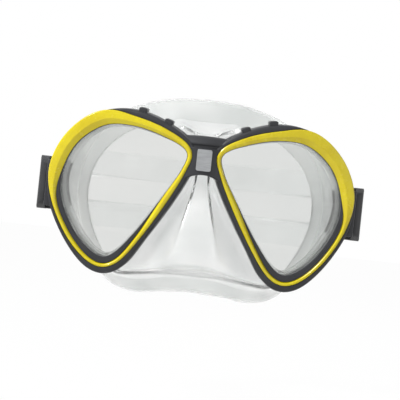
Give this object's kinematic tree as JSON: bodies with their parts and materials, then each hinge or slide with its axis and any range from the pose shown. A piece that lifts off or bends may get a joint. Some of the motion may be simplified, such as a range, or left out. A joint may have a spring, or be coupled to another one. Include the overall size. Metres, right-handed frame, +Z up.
{
  "type": "snorkel mask",
  "caption": "Twin-lens snorkel mask with a clear silicone skirt, coloured trim rings, swivelling roller buckles and a split head strap.",
  "frame": {"origin": "midway between the two buckle pivots, in the face opening of the skirt, where the bridge of the wearer's nose lies", "axes": "+Z up as worn, the lenses face -Y, +X is the wearer's left"},
  "size_m": [0.1718, 0.1676, 0.1086],
  "materials": {
    "frame_plastic": "satin moulded graphite-grey technopolymer",
    "trim_plastic": "glossy yellow",
    "lens_glass": "clear tempered glass",
    "skirt_silicone": "clear liquid silicone, satin",
    "badge_plastic": "silver-grey, plain",
    "pin_steel": "stainless steel",
    "buckle_plastic": "satin moulded graphite grey",
    "lever_plastic": "satin grey",
    "roller_nylon": "smooth black nylon",
    "strap_silicone": "clear silicone, satin"
  },
  "bodies": {
    "mask": {"frame": "frame_plastic", "bezel_left": "trim_plastic", "bezel_right": "trim_plastic", "lens_left": "lens_glass", "lens_right": "lens_glass", "skirt": "skirt_silicone", "bridge_badge": "badge_plastic", "pivot_pin_left": "pin_steel", "pivot_pin_right": "pin_steel"},
    "buckle_left": {"buckle_body_left": "buckle_plastic", "roller_axle_left": "pin_steel", "lever_pin_left": "pin_steel", "strap_bend_left": "strap_silicone"},
    "buckle_right": {"buckle_body_right": "buckle_plastic", "roller_axle_right": "pin_steel", "lever_pin_right": "pin_steel", "strap_bend_right": "strap_silicone"},
    "roller_left": {"strap_roller_left": "roller_nylon"},
    "roller_right": {"strap_roller_right": "roller_nylon"},
    "lever_left": {"release_lever_left": "lever_plastic"},
    "lever_right": {"release_lever_right": "lever_plastic"},
    "strap": {"strap": "strap_silicone"},
    "tail_left": {"strap_tail_left": "strap_silicone"},
    "tail_right": {"strap_tail_right": "strap_silicone"}
  },
  "joints": [
    {"name": "buckle_left_swing", "type": "hinge", "parent": "mask", "child": "buckle_left", "pos_m": [0.0787, 0, 0], "axis": [1, 0, 0], "range_deg": [-30, 30]},
    {"name": "buckle_right_swing", "type": "hinge", "parent": "mask", "child": "buckle_right", "pos_m": [-0.0787, 0, 0], "axis": [1, 0, 0], "range_deg": [-30, 30]},
    {"name": "strap_adjust", "type": "slide", "parent": "buckle_left", "child": "strap", "axis": [0, 1, 0], "range_m": [-0.008, 0.008]},
    {"name": "tail_left_slide", "type": "slide", "parent": "buckle_left", "child": "tail_left", "axis": [0, 1, 0], "range_m": [-0.008, 0.008]},
    {"name": "tail_right_slide", "type": "slide", "parent": "buckle_right", "child": "tail_right", "axis": [0, 1, 0], "range_m": [-0.008, 0.008]},
    {"name": "roller_left_spin", "type": "hinge", "parent": "buckle_left", "child": "roller_left", "pos_m": [0.0787, 0.0135, 0], "axis": [0, 0, 1], "range_deg": [-290.5, 290.5]},
    {"name": "roller_right_spin", "type": "hinge", "parent": "buckle_right", "child": "roller_right", "pos_m": [-0.0787, 0.0135, 0], "axis": [0, 0, 1], "range_deg": [-290.5, 290.5]},
    {"name": "lever_left_lift", "type": "hinge", "parent": "buckle_left", "child": "lever_left", "pos_m": [0.08373, 0.01172, 0], "axis": [0, 0, -1], "range_deg": [0, 30]},
    {"name": "lever_right_lift", "type": "hinge", "parent": "buckle_right", "child": "lever_right", "pos_m": [-0.08373, 0.01172, 0], "axis": [0, 0, 1], "range_deg": [0, 30]}
  ],
  "couplings": [
    {"joint": "buckle_right_swing", "follows": "buckle_left_swing", "ratio": 1},
    {"joint": "tail_left_slide", "follows": "strap_adjust", "ratio": -1},
    {"joint": "tail_right_slide", "follows": "strap_adjust", "ratio": -1},
    {"joint": "roller_left_spin", "follows": "strap_adjust", "rad_per_m": -625},
    {"joint": "roller_right_spin", "follows": "strap_adjust", "rad_per_m": 625}
  ]
}
